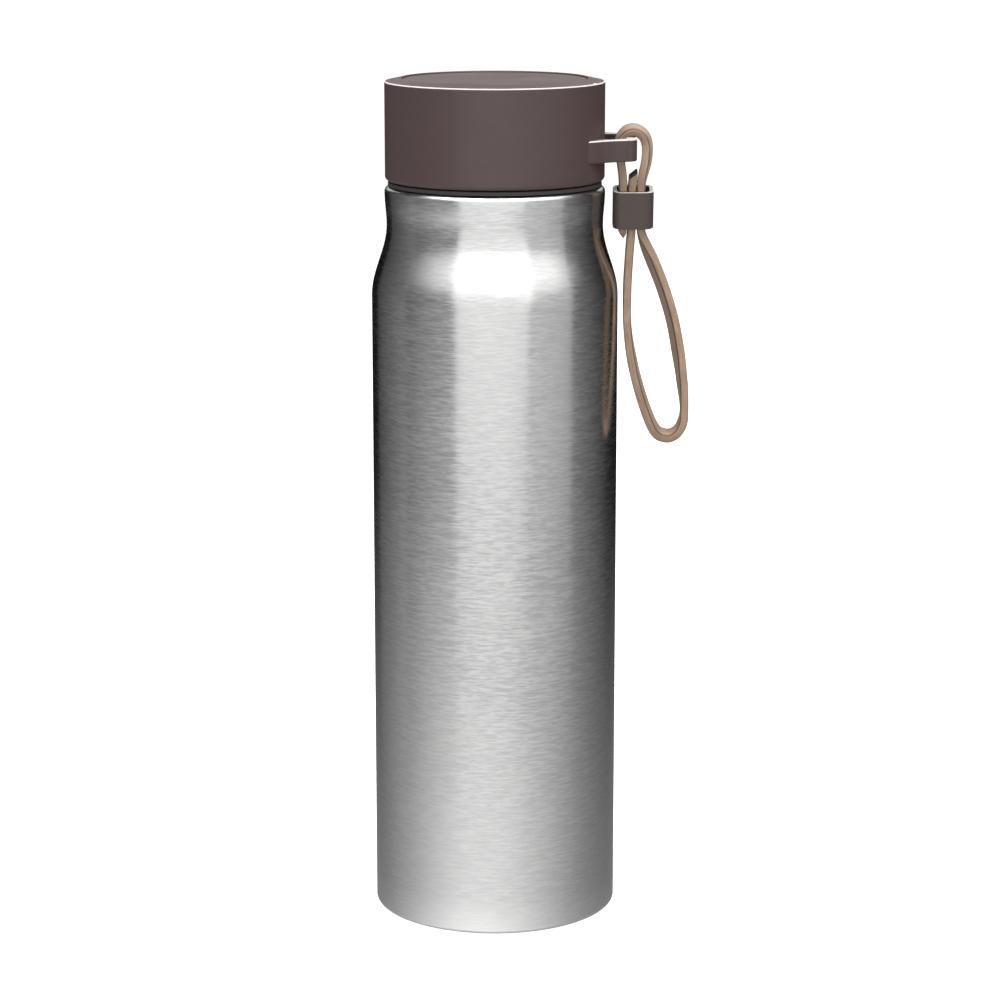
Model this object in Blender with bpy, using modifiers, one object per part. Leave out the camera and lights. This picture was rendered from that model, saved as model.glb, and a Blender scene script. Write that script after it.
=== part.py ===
"""Vacuum-insulated steel drinking bottle with a screw cap, a lug on the cap and a wrist strap.

Metres, +Z up. The origin is the centre of the base on the bottle's axis. The lug and the strap
are on the +X side. Every turned piece shares the bottle's axis.
"""

from math import cos, pi, radians, sin, tau

import bmesh
import bpy
from mathutils import Matrix, Vector

MM = 0.001
SEGMENTS = 32  # facets round every turned piece
WELD = 1e-6

# Outer shell
BODY_RADIUS = 33.2 * MM
WAIST_RADIUS = 29.1 * MM
RIM_RADIUS = 29.6 * MM
SHOULDER_BOTTOM = 170.8 * MM
WAIST_HEIGHT = 190.0 * MM
RIM_BOTTOM = 198.7 * MM
RIM_TOP = 200.2 * MM
RIM_CORNER = 1.3 * MM
SHELL_WALL = 0.7 * MM
SHELL_FOOT = 0.4 * MM  # the shell's edge stays this far above the table
FOOT_CORNER = 1.2 * MM
FOOT_LIP_RADIUS = 30.6 * MM

# Neck and mouth
NECK_RADIUS = 24.5 * MM
NECK_FILLET = 0.9 * MM
NECK_TOP = 214.7 * MM
MOUTH_NECK_RADIUS = 22.9 * MM  # inner flask's neck, outside
MOUTH_LIP_RADIUS = 24.4 * MM
MOUTH_LIP_FILLET = 0.6 * MM
FLASK_RADIUS = 30.6 * MM
FLASK_BOTTOM = 9.0 * MM
FLASK_CORNER = 5.0 * MM
FLASK_SHOULDER = 166.0 * MM
FLASK_NECK_BOTTOM = 197.0 * MM
GAP = 0.3 * MM  # between pieces that touch

# Base: plate with its pump-out dimple, glass bead, getter and the cover that hides them
PLATE_RISE = 4.5 * MM
PLATE_CORNER = 1.1 * MM
DIMPLE_RADIUS = 6.0 * MM
DIMPLE_TOP_RADIUS = 4.6 * MM
DIMPLE_RISE = 1.5 * MM
PUMP_HOLE_RADIUS = 0.9 * MM
BEAD_RADIUS = 3.8 * MM
BEAD_TOP_RADIUS = 3.0 * MM
BEAD_FOOT_RADIUS = 3.2 * MM
BEAD_HEIGHT = 1.1 * MM
BEAD_ROUNDING = 0.1 * MM
GETTER_X = 14.0 * MM
GETTER_RADIUS = 4.0 * MM
GETTER_HEIGHT = 2.4 * MM
COVER_MARGIN = 0.5 * MM
SMALL_CHAMFER = 0.4 * MM

# Rubber rings
NECK_RING_INNER = 25.6 * MM
NECK_RING_OUTER = 28.7 * MM
SEAL_CHAMFER = 0.6 * MM

# Thread: two starts, right-handed
THREAD_LEAD = 8.0 * MM
THREAD_STARTS = 2
THREAD_TURN = 0.7
THREAD_START = 205.0 * MM
MALE_CREST = 25.6 * MM
FEMALE_CREST = 24.85 * MM
THREAD_ROOT_WIDTH = 1.6 * MM
THREAD_CREST_WIDTH = 0.8 * MM
THREAD_SINK = 0.35 * MM  # how far a ridge is rooted in its wall

# Cap
CAP_RADIUS = 29.45 * MM
CAP_INNER_RADIUS = 27.45 * MM
CAP_BOTTOM = 201.8 * MM
CAP_TOP = 229.0 * MM
CAP_EDGE_HEIGHT = 228.15 * MM  # the roof slopes down to this at its outer edge
CAP_EDGE_CORNER = 0.4 * MM
CAP_BOTTOM_CORNER = 1.2 * MM
CAP_ROOF = 225.4 * MM  # underside of the cap's roof
DISC_RADIUS = 24.6 * MM
DISC_FLOOR = 227.0 * MM
DISC_TOP = 228.6 * MM
DISC_CHAMFER = 0.3 * MM

# Threaded liner with its plug
LINER_RADIUS = 27.1 * MM
LINER_BORE = 25.95 * MM
LINER_BOTTOM = 203.0 * MM
LINER_DECK = 218.0 * MM
LINER_DECK_THICKNESS = 1.2 * MM
PLUG_RADIUS = 21.4 * MM
PLUG_BOTTOM = 207.0 * MM
PLUG_WALL = 1.2 * MM
PLUG_CHAMFER = 1.0 * MM

# Lug and its strap bar
LUG_BOTTOM = 207.4 * MM
LUG_TOP = 213.4 * MM
LUG_ROOT_RADIUS = 28.4 * MM  # the lug is rooted in the cap's wall down to this radius
LUG_ROOT_ANGLE = 39  # degrees
LUG_REACH = 37.8 * MM
LUG_INNER_REACH = 34.9 * MM
LUG_HALF_WIDTH = 9.6 * MM
LUG_CORNER = 3.1 * MM
LUG_FLANK = (
    (25.9 * MM, -15.3 * MM),
    (28.6 * MM, -13.0 * MM),
    (31.5 * MM, -11.2 * MM),
    (34.6 * MM, -10.0 * MM),
)
LUG_OPENING = ((27.0 * MM, -9.9 * MM), (29.3 * MM, -9.1 * MM), (LUG_INNER_REACH, -6.8 * MM))
LUG_OVERCUT = 1.0 * MM  # how far a cutter reaches past what it cuts
BAR_X = 36.4 * MM
BAR_Z = 211.2 * MM
BAR_RADIUS = 1.4 * MM
BAR_HALF_LENGTH = 4.2 * MM  # free length of the round bar to each side of the middle
BAR_ROOTING = 1.0 * MM
BAR_SEGMENTS = 16

# Strap and keeper
STRAP_THICKNESS = 2.2 * MM
STRAP_WIDTH = 5.0 * MM
STRAP_EDGE = 0.55 * MM
STRAP_SAMPLES = 80
KEEPER_CENTRE = Vector((37.10, -0.25, 194.4)) * MM
KEEPER_WIDTH = 10.9 * MM
KEEPER_DEPTH = 7.8 * MM
KEEPER_HEIGHT = 10.3 * MM
KEEPER_WALL = 1.12 * MM
KEEPER_CORNER = 2.2 * MM
KEEPER_TILT = radians(10)  # its top leans to -Y

# The strap's centre line in millimetres, from its lower end through the keeper, over the bar,
# down through the keeper, round the wrist loop and back up into the keeper.
STRAP_ROUTE = (
    (34.10, 1.05, 186.8),
    (34.28, 0.75, 188.6),
    (34.35, -0.20, 194.0),
    (34.35, -1.20, 199.7),
    (34.15, -1.70, 203.2),
    (33.65, -1.30, 207.0),
    (33.35, -0.40, 210.6),
    (33.95, 0.00, 213.1),
    (35.70, 0.00, 214.8),
    (37.90, 0.00, 214.9),
    (39.90, 0.00, 213.5),
    (40.80, -0.10, 210.8),
    (40.60, -0.90, 207.0),
    (39.70, -1.65, 203.2),
    (39.25, -1.20, 199.7),
    (39.25, -0.20, 194.0),
    (39.30, 0.75, 188.6),
    (40.45, 1.40, 184.6),
    (42.70, 1.80, 179.3),
    (45.60, 2.00, 171.9),
    (48.10, 2.00, 163.7),
    (49.70, 1.90, 155.5),
    (50.90, 1.60, 147.2),
    (51.60, 1.20, 139.2),
    (50.95, 0.90, 134.9),
    (49.10, 0.60, 132.5),
    (46.40, 0.30, 131.9),
    (43.40, -0.20, 133.9),
    (40.20, -0.50, 141.7),
    (37.40, -0.60, 152.0),
    (35.90, -0.40, 162.0),
    (35.75, 0.10, 172.0),
    (36.20, 0.60, 181.0),
    (36.75, 0.75, 188.6),
    (36.80, -0.20, 194.0),
    (36.80, -1.20, 199.7),
    (36.95, -1.75, 202.0),
    (37.00, -2.05, 203.5),
)


def clear_scene():
    for obj in list(bpy.data.objects):
        bpy.data.objects.remove(obj, do_unlink=True)


def new_collection(name):
    collection = bpy.data.collections.new(name)
    bpy.context.scene.collection.children.link(collection)
    return collection


def material(name, colour, roughness, metallic=0.0):
    made = bpy.data.materials.new(name)
    made.use_nodes = True
    shader = made.node_tree.nodes["Principled BSDF"]
    shader.inputs["Base Color"].default_value = (*colour, 1.0)
    shader.inputs["Roughness"].default_value = roughness
    shader.inputs["Metallic"].default_value = metallic
    return made


def add_object(name, data, collection, look=None):
    obj = bpy.data.objects.new(name, data)
    collection.objects.link(obj)
    if look:
        data.materials.append(look)
    return obj


def make_cutter(obj):
    """Helpers only shape other pieces, so they never show."""
    obj.hide_render = True
    obj.display_type = "WIRE"
    return obj


def arc(centre_r, centre_z, radius, start, end, steps=4):
    """Points (r, z) of an arc, its angles in degrees counted from +r towards +z."""
    turned_by = [radians(start + (end - start) * i / steps) for i in range(steps + 1)]
    return [(centre_r + radius * cos(a), centre_z + radius * sin(a)) for a in turned_by]


def ease(start, end, steps):
    """Points (r, z) between two points, leaving and arriving along the axis."""
    points = []
    for i in range(steps + 1):
        along = i / steps
        blend = (1 - cos(pi * along)) / 2
        points.append((start[0] + (end[0] - start[0]) * blend, start[1] + (end[1] - start[1]) * along))
    return points


def turned(name, profile, look, collection, wall=None, closed=True):
    """A profile turned round Z. It runs down its outer side. With a wall, it is one surface made thick."""
    mesh = bpy.data.meshes.new(name)
    count = len(profile)
    edges = [(i, i + 1) for i in range(count - 1)]
    if closed and wall is None:
        edges.append((count - 1, 0))
    mesh.from_pydata([(r, 0, z) for r, z in profile], edges, [])
    obj = add_object(name, mesh, collection, look)
    screw = obj.modifiers.new("Turn", "SCREW")
    screw.angle = tau
    screw.steps = SEGMENTS
    screw.render_steps = SEGMENTS
    screw.use_merge_vertices = True
    screw.merge_threshold = WELD
    screw.use_smooth_shade = True
    if wall is not None:
        solid = obj.modifiers.new("Wall", "SOLIDIFY")
        solid.thickness = wall
        solid.offset = -1
    return obj


def solid_of_revolution(name, profile, look, collection):
    """A turned solid whose profile starts and ends on the axis."""
    return turned(name, profile, look, collection, closed=False)


def boolean(obj, other, operation):
    cut = obj.modifiers.new(f"{operation.title()} {other.name}", "BOOLEAN")
    cut.operation = operation
    cut.object = other
    cut.solver = "EXACT"


def curve_to_mesh(obj, collection):
    """Replaces a curve by its mesh, with the loose caps welded to the sides."""
    graph = bpy.context.evaluated_depsgraph_get()
    mesh = bpy.data.meshes.new_from_object(obj.evaluated_get(graph))
    solid = bmesh.new()
    solid.from_mesh(mesh)
    bmesh.ops.remove_doubles(solid, verts=solid.verts, dist=WELD)
    bmesh.ops.recalc_face_normals(solid, faces=solid.faces)
    solid.to_mesh(mesh)
    solid.free()
    name = obj.name
    matrix = obj.matrix_world.copy()
    bpy.data.objects.remove(obj, do_unlink=True)
    made = add_object(name, mesh, collection)
    made.matrix_world = matrix
    return made


def flat_outline(name, outlines, thickness, collection, look=None):
    """A flat plate from closed outlines of (x, y). A second outline is a hole through it."""
    curve = bpy.data.curves.new(name, "CURVE")
    curve.dimensions = "2D"
    curve.fill_mode = "BOTH"
    curve.extrude = thickness / 2
    for outline in outlines:
        spline = curve.splines.new("POLY")
        spline.points.add(len(outline) - 1)
        spline.use_cyclic_u = True
        for point, (x, y) in zip(spline.points, outline):
            point.co = (x, y, 0, 1)
    return add_object(name, curve, collection, look)


def rounded_rectangle(width, depth, radius, steps=4):
    """Corners (x, y) of a rectangle about the origin, each corner an arc."""
    points = []
    for quarter, (side_x, side_y) in enumerate(((1, 1), (-1, 1), (-1, -1), (1, -1))):
        centre_x = side_x * (width / 2 - radius)
        centre_y = side_y * (depth / 2 - radius)
        points += arc(centre_x, centre_y, radius, 90 * quarter, 90 * (quarter + 1), steps)
    return points


def smooth_route(route, samples):
    """Even samples of a Catmull-Rom curve through the route's points."""
    points = [Vector(p) * MM for p in route]
    points = [2 * points[0] - points[1], *points, 2 * points[-1] - points[-2]]
    dense = []
    steps = 12
    for a, b, c, d in zip(points, points[1:], points[2:], points[3:]):
        for i in range(steps):
            t = i / steps
            curved = (2 * a - 5 * b + 4 * c - d) * t**2 + (3 * b - a - 3 * c + d) * t**3
            dense.append(0.5 * (2 * b + (c - a) * t + curved))
    dense.append(points[-2])
    reach = [0.0]
    for start, end in zip(dense, dense[1:]):
        reach.append(reach[-1] + (end - start).length)
    even = []
    at = 0
    for i in range(samples):
        wanted = reach[-1] * i / (samples - 1)
        while at < len(reach) - 2 and reach[at + 1] < wanted:
            at += 1
        part = (wanted - reach[at]) / (reach[at + 1] - reach[at])
        even.append(dense[at].lerp(dense[at + 1], part))
    return even


def thread_ridges(name, wall_radius, crest_radius, first_height, collection):
    """One helical ridge for each start, on the outside of a neck or the inside of a bore."""
    outward = 1 if crest_radius > wall_radius else -1
    root_radius = wall_radius - outward * THREAD_SINK
    section = (
        (root_radius, -THREAD_ROOT_WIDTH / 2),
        (crest_radius, -THREAD_CREST_WIDTH / 2),
        (crest_radius, THREAD_CREST_WIDTH / 2),
        (root_radius, THREAD_ROOT_WIDTH / 2),
    )
    steps = round(SEGMENTS * THREAD_TURN)
    ridges = []
    for start in range(THREAD_STARTS):
        ridge = bmesh.new()
        corners = [ridge.verts.new((r, 0, first_height + z)) for r, z in section]
        face = ridge.faces.new(corners)
        # half a facet on, so that no ridge's edge runs along an edge of its wall
        start_turn = Matrix.Rotation(tau * start / THREAD_STARTS + pi / SEGMENTS, 3, "Z")
        bmesh.ops.rotate(ridge, verts=corners, cent=(0, 0, 0), matrix=start_turn)
        bmesh.ops.spin(
            ridge,
            geom=[face, *face.edges, *face.verts],
            cent=(0, 0, 0),
            axis=(0, 0, 1),
            dvec=(0, 0, THREAD_LEAD * THREAD_TURN / steps),
            angle=tau * THREAD_TURN,
            steps=steps,
        )
        bmesh.ops.recalc_face_normals(ridge, faces=ridge.faces)
        mesh = bpy.data.meshes.new(f"{name}_{start}")
        ridge.to_mesh(mesh)
        ridge.free()
        ridges.append(make_cutter(add_object(mesh.name, mesh, collection)))
    return ridges


def outer_shell(parts, cutters, steel):
    profile = [(NECK_RADIUS, NECK_TOP)]
    profile += arc(NECK_RADIUS + NECK_FILLET, RIM_TOP + NECK_FILLET, NECK_FILLET, 180, 270, 3)
    profile += arc(RIM_RADIUS - RIM_CORNER, RIM_TOP - RIM_CORNER, RIM_CORNER, 90, 0, 4)
    profile += ease((RIM_RADIUS, RIM_BOTTOM), (WAIST_RADIUS, WAIST_HEIGHT), 4)[1:]
    profile += ease((WAIST_RADIUS, WAIST_HEIGHT), (BODY_RADIUS, SHOULDER_BOTTOM), 8)[1:]
    profile += arc(BODY_RADIUS - FOOT_CORNER, SHELL_FOOT + FOOT_CORNER, FOOT_CORNER, 0, -90, 4)
    profile.append((FOOT_LIP_RADIUS, SHELL_FOOT))
    shell = turned("outer_shell", profile, steel, parts, wall=SHELL_WALL)
    for ridge in thread_ridges("neck_thread", NECK_RADIUS, MALE_CREST, THREAD_START, cutters):
        boolean(shell, ridge, "UNION")


def inner_flask(parts, steel):
    lip_bottom = NECK_TOP + GAP
    fillet_r = MOUTH_NECK_RADIUS + MOUTH_LIP_FILLET
    profile = [(MOUTH_LIP_RADIUS, lip_bottom)]
    profile += arc(fillet_r, lip_bottom - MOUTH_LIP_FILLET, MOUTH_LIP_FILLET, 90, 180, 3)
    profile += ease((MOUTH_NECK_RADIUS, FLASK_NECK_BOTTOM), (FLASK_RADIUS, FLASK_SHOULDER), 8)
    profile += arc(FLASK_RADIUS - FLASK_CORNER, FLASK_BOTTOM + FLASK_CORNER, FLASK_CORNER, 0, -90, 4)
    profile.append((0, FLASK_BOTTOM))
    turned("inner_flask", profile, steel, parts, wall=SHELL_WALL)


def base_plate(parts, steel):
    """Closes the vacuum space. It has a dimple with a pump-out hole in its middle."""
    bottom = SHELL_FOOT + SHELL_WALL + GAP
    radius = BODY_RADIUS - SHELL_WALL - GAP
    profile = [(radius, bottom + PLATE_RISE)]
    profile += arc(radius - PLATE_CORNER, bottom + PLATE_CORNER, PLATE_CORNER, 0, -90, 3)
    profile += [
        (DIMPLE_RADIUS, bottom),
        (DIMPLE_TOP_RADIUS, bottom + DIMPLE_RISE),
        (PUMP_HOLE_RADIUS, bottom + DIMPLE_RISE),
    ]
    turned("base_plate", profile, steel, parts, wall=SHELL_WALL)


def vacuum_seal_bead(parts, glass):
    top = SHELL_FOOT + SHELL_WALL + DIMPLE_RISE
    profile = [(0, top), (BEAD_TOP_RADIUS, top), (BEAD_RADIUS, top - BEAD_HEIGHT / 2)]
    profile += [(BEAD_FOOT_RADIUS, top - BEAD_HEIGHT + BEAD_ROUNDING), (0, top - BEAD_HEIGHT)]
    solid_of_revolution("vacuum_seal_bead", profile, glass, parts)


def base_cover(parts, steel):
    radius = FOOT_LIP_RADIUS - COVER_MARGIN
    top = SHELL_FOOT + SHELL_WALL
    profile = [(0, top), (radius, top), (radius, SMALL_CHAMFER), (radius - SMALL_CHAMFER, 0), (0, 0)]
    solid_of_revolution("base_cover", profile, steel, parts)


def getter_pellet(parts, getter_look):
    """The pellet that keeps the vacuum. It lies on the base plate, beside the dimple."""
    bottom = SHELL_FOOT + 2 * (SHELL_WALL + GAP)
    top = bottom + GETTER_HEIGHT
    profile = [(0, top), (GETTER_RADIUS - SMALL_CHAMFER, top), (GETTER_RADIUS, top - SMALL_CHAMFER)]
    profile += [(GETTER_RADIUS, bottom), (0, bottom)]
    solid_of_revolution("getter_pellet", profile, getter_look, parts).location.x = GETTER_X


def neck_ring(parts, rubber):
    bottom = RIM_TOP + GAP
    top = CAP_BOTTOM - GAP
    profile = [(NECK_RING_INNER, top), (NECK_RING_OUTER - SMALL_CHAMFER, top)]
    profile += [(NECK_RING_OUTER, top - SMALL_CHAMFER), (NECK_RING_OUTER, bottom), (NECK_RING_INNER, bottom)]
    turned("neck_ring", profile, rubber, parts)


def mirrored(outline):
    """The points (x, y) of an outline on the other side of the X axis, in reverse order."""
    return [(x, -y) for x, y in reversed(outline)]


def lug(cutters):
    """The bracket on the cap's side: two arms and an end bar that is round where the strap hangs."""
    root = arc(0, 0, LUG_ROOT_RADIUS, LUG_ROOT_ANGLE, -LUG_ROOT_ANGLE, 8)
    corner_y = LUG_CORNER - LUG_HALF_WIDTH
    corner = arc(LUG_REACH - LUG_CORNER, corner_y, LUG_CORNER, -75, 0, 4)
    lower = [*LUG_FLANK, *corner]
    middle = (LUG_BOTTOM + LUG_TOP) / 2
    height = LUG_TOP - LUG_BOTTOM
    plate = flat_outline("lug", [root + lower + mirrored(lower)], height, cutters)
    plate.location.z = middle
    hole = flat_outline("lug_opening", [[*LUG_OPENING, *mirrored(LUG_OPENING)]], 2 * height, cutters)
    hole.location.z = middle

    near = LUG_INNER_REACH - LUG_OVERCUT
    far = LUG_REACH + LUG_OVERCUT
    lower_side = [(near, -BAR_HALF_LENGTH), (far, -BAR_HALF_LENGTH)]
    bar_gap = [*lower_side, *mirrored(lower_side)]
    gap = flat_outline("bar_gap", [bar_gap], 2 * height, cutters)
    gap.location.z = middle

    bpy.context.view_layer.update()
    plate, hole, gap = (make_cutter(curve_to_mesh(piece, cutters)) for piece in (plate, hole, gap))
    boolean(plate, hole, "DIFFERENCE")
    boolean(plate, gap, "DIFFERENCE")
    boolean(plate, strap_bar(cutters), "UNION")
    return plate


def strap_bar(cutters):
    bar = bmesh.new()
    bmesh.ops.create_cone(
        bar,
        cap_ends=True,
        segments=BAR_SEGMENTS,
        radius1=BAR_RADIUS,
        radius2=BAR_RADIUS,
        depth=2 * (BAR_HALF_LENGTH + BAR_ROOTING),
    )
    mesh = bpy.data.meshes.new("strap_bar")
    bar.to_mesh(mesh)
    bar.free()
    obj = make_cutter(add_object("strap_bar", mesh, cutters))
    obj.rotation_euler.x = pi / 2
    obj.location = (BAR_X, 0, BAR_Z)
    return obj


def cap_shell(parent, parts, cutters, plastic):
    recess_radius = DISC_RADIUS + GAP
    profile = [(0, DISC_FLOOR), (recess_radius, DISC_FLOOR), (recess_radius, CAP_TOP - DISC_CHAMFER)]
    profile.append((recess_radius + DISC_CHAMFER, CAP_TOP))
    edge_r = CAP_RADIUS - CAP_EDGE_CORNER
    profile += arc(edge_r, CAP_EDGE_HEIGHT - CAP_EDGE_CORNER, CAP_EDGE_CORNER, 90, 0, 3)
    foot_r = CAP_RADIUS - CAP_BOTTOM_CORNER
    profile += arc(foot_r, CAP_BOTTOM + CAP_BOTTOM_CORNER, CAP_BOTTOM_CORNER, 0, -90, 3)
    profile += [(CAP_INNER_RADIUS, CAP_BOTTOM), (CAP_INNER_RADIUS, CAP_ROOF), (0, CAP_ROOF)]
    cap = solid_of_revolution("cap_shell", profile, plastic, parts)
    cap.parent = parent
    boolean(cap, lug(cutters), "UNION")


def cap_top_disc(parent, parts, plastic):
    bottom = DISC_FLOOR + GAP
    edge = DISC_RADIUS - DISC_CHAMFER
    profile = [(0, DISC_TOP), (edge, DISC_TOP), (DISC_RADIUS, DISC_TOP - DISC_CHAMFER)]
    profile += [(DISC_RADIUS, bottom), (0, bottom)]
    solid_of_revolution("cap_top_disc", profile, plastic, parts).parent = parent


def cap_liner(parent, parts, cutters, plastic):
    deck_top = LINER_DECK + LINER_DECK_THICKNESS
    plug_bore = PLUG_RADIUS - PLUG_WALL
    liner_top = CAP_ROOF - GAP
    profile = [
        (LINER_BORE, liner_top),
        (LINER_RADIUS, liner_top),
        (LINER_RADIUS, LINER_BOTTOM),
        (LINER_BORE, LINER_BOTTOM),
        (LINER_BORE, LINER_DECK),
        (PLUG_RADIUS, LINER_DECK),
        (PLUG_RADIUS, PLUG_BOTTOM + PLUG_CHAMFER),
        (PLUG_RADIUS - PLUG_CHAMFER, PLUG_BOTTOM),
        (0, PLUG_BOTTOM),
        (0, PLUG_BOTTOM + PLUG_WALL),
        (plug_bore, PLUG_BOTTOM + PLUG_WALL),
        (plug_bore, deck_top),
        (LINER_BORE, deck_top),
    ]
    liner = turned("cap_liner", profile, plastic, parts)
    liner.parent = parent
    between_starts = THREAD_START + THREAD_LEAD / THREAD_STARTS / 2
    for ridge in thread_ridges("cap_thread", LINER_BORE, FEMALE_CREST, between_starts, cutters):
        boolean(liner, ridge, "UNION")


def cap_insulation(parent, parts, foam):
    deck_top = LINER_DECK + LINER_DECK_THICKNESS + GAP
    plug_bore = PLUG_RADIUS - PLUG_WALL - GAP
    floor = PLUG_BOTTOM + PLUG_WALL + GAP
    top = CAP_ROOF - GAP
    profile = [(0, top), (LINER_BORE - GAP, top), (LINER_BORE - GAP, deck_top), (plug_bore, deck_top)]
    profile += [(plug_bore, floor), (0, floor)]
    solid_of_revolution("cap_insulation", profile, foam, parts).parent = parent


def mouth_seal(parts, rubber):
    bottom = NECK_TOP + GAP + SHELL_WALL + GAP
    top = LINER_DECK - GAP
    inner = PLUG_RADIUS + GAP
    outer = MOUTH_LIP_RADIUS
    profile = [(inner, top), (outer, top), (outer, bottom + SMALL_CHAMFER)]
    profile += [(outer - SEAL_CHAMFER, bottom), (inner, bottom)]
    turned("mouth_seal", profile, rubber, parts)


def strap(parent, parts, leather):
    """A flat band lofted along its route. Its width stays along Y, which a curve's own twist would lose."""
    outline = rounded_rectangle(STRAP_THICKNESS, STRAP_WIDTH, STRAP_EDGE, 1)
    points = smooth_route(STRAP_ROUTE, STRAP_SAMPLES)
    loft = bmesh.new()
    rings = []
    for before, place, after in zip([points[0], *points], points, [*points[1:], points[-1]]):
        along = (after - before).normalized()
        through = along.cross(Vector((0, 1, 0))).normalized()
        across = through.cross(along)
        centre = place - parent.location
        rings.append([loft.verts.new(centre + through * x + across * y) for x, y in outline])
    for ring, following in zip(rings, rings[1:]):
        for i in range(len(ring)):
            loft.faces.new((ring[i - 1], ring[i], following[i], following[i - 1]))
    loft.faces.new(rings[0])
    loft.faces.new(rings[-1])
    bmesh.ops.recalc_face_normals(loft, faces=loft.faces)
    mesh = bpy.data.meshes.new("strap")
    loft.to_mesh(mesh)
    loft.free()
    add_object("strap", mesh, parts, leather).parent = parent


def keeper(parent, parts, plastic):
    outer = rounded_rectangle(KEEPER_WIDTH, KEEPER_DEPTH, KEEPER_CORNER)
    inner = rounded_rectangle(
        KEEPER_WIDTH - 2 * KEEPER_WALL,
        KEEPER_DEPTH - 2 * KEEPER_WALL,
        KEEPER_CORNER - KEEPER_WALL,
    )
    obj = flat_outline("keeper", [outer, inner], KEEPER_HEIGHT, parts, plastic)
    obj.parent = parent
    obj.location = KEEPER_CENTRE - parent.location
    obj.rotation_euler.x = KEEPER_TILT


def empty(name, location, collection, parent=None):
    """A joint's frame: the pieces that move with the joint are its children."""
    obj = bpy.data.objects.new(name, None)
    collection.objects.link(obj)
    obj.location = location
    obj.parent = parent
    return obj


def main():
    clear_scene()
    parts = new_collection("bottle")
    cutters = new_collection("cutters")

    steel = material("brushed_steel", (0.55, 0.55, 0.54), 0.32, 1.0)
    flask_steel = material("flask_steel", (0.62, 0.62, 0.60), 0.25, 1.0)
    cap_plastic = material("cap_plastic", (0.085, 0.062, 0.060), 0.55)
    liner_plastic = material("liner_plastic", (0.32, 0.31, 0.30), 0.45)
    keeper_plastic = material("keeper_plastic", (0.080, 0.070, 0.064), 0.5)
    leather = material("strap_leather", (0.44, 0.30, 0.20), 0.65)
    rubber = material("seal_rubber", (0.05, 0.045, 0.045), 0.7)
    foam = material("insulation_foam", (0.75, 0.72, 0.62), 0.9)
    glass = material("seal_glass", (0.30, 0.34, 0.30), 0.3)
    getter_look = material("getter_metal", (0.28, 0.27, 0.26), 0.6, 0.7)

    cap_turn = empty("cap_turn", (0, 0, 0), parts)
    strap_swing = empty("strap_swing", (BAR_X, 0, BAR_Z), parts, cap_turn)

    outer_shell(parts, cutters, steel)
    inner_flask(parts, flask_steel)
    base_plate(parts, steel)
    vacuum_seal_bead(parts, glass)
    base_cover(parts, steel)
    getter_pellet(parts, getter_look)
    neck_ring(parts, rubber)
    mouth_seal(parts, rubber)
    cap_shell(cap_turn, parts, cutters, cap_plastic)
    cap_top_disc(cap_turn, parts, cap_plastic)
    cap_liner(cap_turn, parts, cutters, liner_plastic)
    cap_insulation(cap_turn, parts, foam)
    strap(strap_swing, parts, leather)
    keeper(strap_swing, parts, keeper_plastic)


main()
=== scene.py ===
"""Looks for the vacuum bottle: brushed steel body, moulded cap with its lug, leather wrist strap and keeper.

Metres, +Z up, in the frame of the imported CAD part. Every turned piece shares the bottle's axis.
"""

from math import cos, pi, radians, sin, sqrt, tau

import bmesh
import bpy
from mathutils import Matrix, Vector


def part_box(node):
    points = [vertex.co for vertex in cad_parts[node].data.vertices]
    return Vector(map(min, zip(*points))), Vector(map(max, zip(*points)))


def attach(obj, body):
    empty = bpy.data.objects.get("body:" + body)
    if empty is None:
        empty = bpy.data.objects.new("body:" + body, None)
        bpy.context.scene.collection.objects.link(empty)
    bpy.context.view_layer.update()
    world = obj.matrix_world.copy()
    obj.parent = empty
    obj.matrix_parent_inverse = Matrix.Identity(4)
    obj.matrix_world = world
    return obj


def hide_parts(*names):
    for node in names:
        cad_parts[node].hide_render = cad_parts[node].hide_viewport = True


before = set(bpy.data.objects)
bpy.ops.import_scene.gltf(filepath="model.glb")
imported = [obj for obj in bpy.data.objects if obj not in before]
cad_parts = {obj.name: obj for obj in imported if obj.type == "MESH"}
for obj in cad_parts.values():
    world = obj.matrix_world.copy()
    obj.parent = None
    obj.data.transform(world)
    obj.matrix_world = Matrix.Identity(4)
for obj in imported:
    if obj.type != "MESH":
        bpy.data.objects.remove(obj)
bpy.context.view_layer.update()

MM = 0.001
SEGMENTS = 240  # facets round a turned piece
WELD = 1e-7  # points closer than this become one
CURVE_WELD = 1e-6
SHARP = radians(38)  # edges steeper than this stay crisp
HIGHLIGHT_RADIUS = 26.5 * MM  # plastic edges farther from the axis get the painted edge highlight
HIGHLIGHT_FADE = 0.5 * MM
HIGHLIGHT_REACH = 0.25 * MM  # how far the painted highlight of an edge reaches onto the faces beside it
STREAK_DEPTH = 0.0004 * MM  # of the steel's brushing

# Colours, linear
STEEL_TINT = (0.60, 0.60, 0.597)
FLASK_TINT = (0.66, 0.66, 0.65)
CAP_TINT = (0.082, 0.053, 0.052)
KEEPER_TINT = (0.070, 0.052, 0.045)
LINER_TINT = (0.30, 0.29, 0.28)
SEAL_TINT = (0.030, 0.026, 0.025)
# near-white colour of the painted highlight on the plastic's upper outer edges
PLASTIC_EDGE_HIGHLIGHT = (0.95, 0.89, 0.85)
PLASTIC_SPECKLE = 0.2  # how much lighter and darker than its tint the plastic's grain is

# Camera: a little above the cap, looking along +Y and slightly down
CAMERA_PLACE = (0.0014, -0.8139, 0.2881)
CAMERA_PITCH = radians(12.08)
CAMERA_LENS = 109.3

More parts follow.
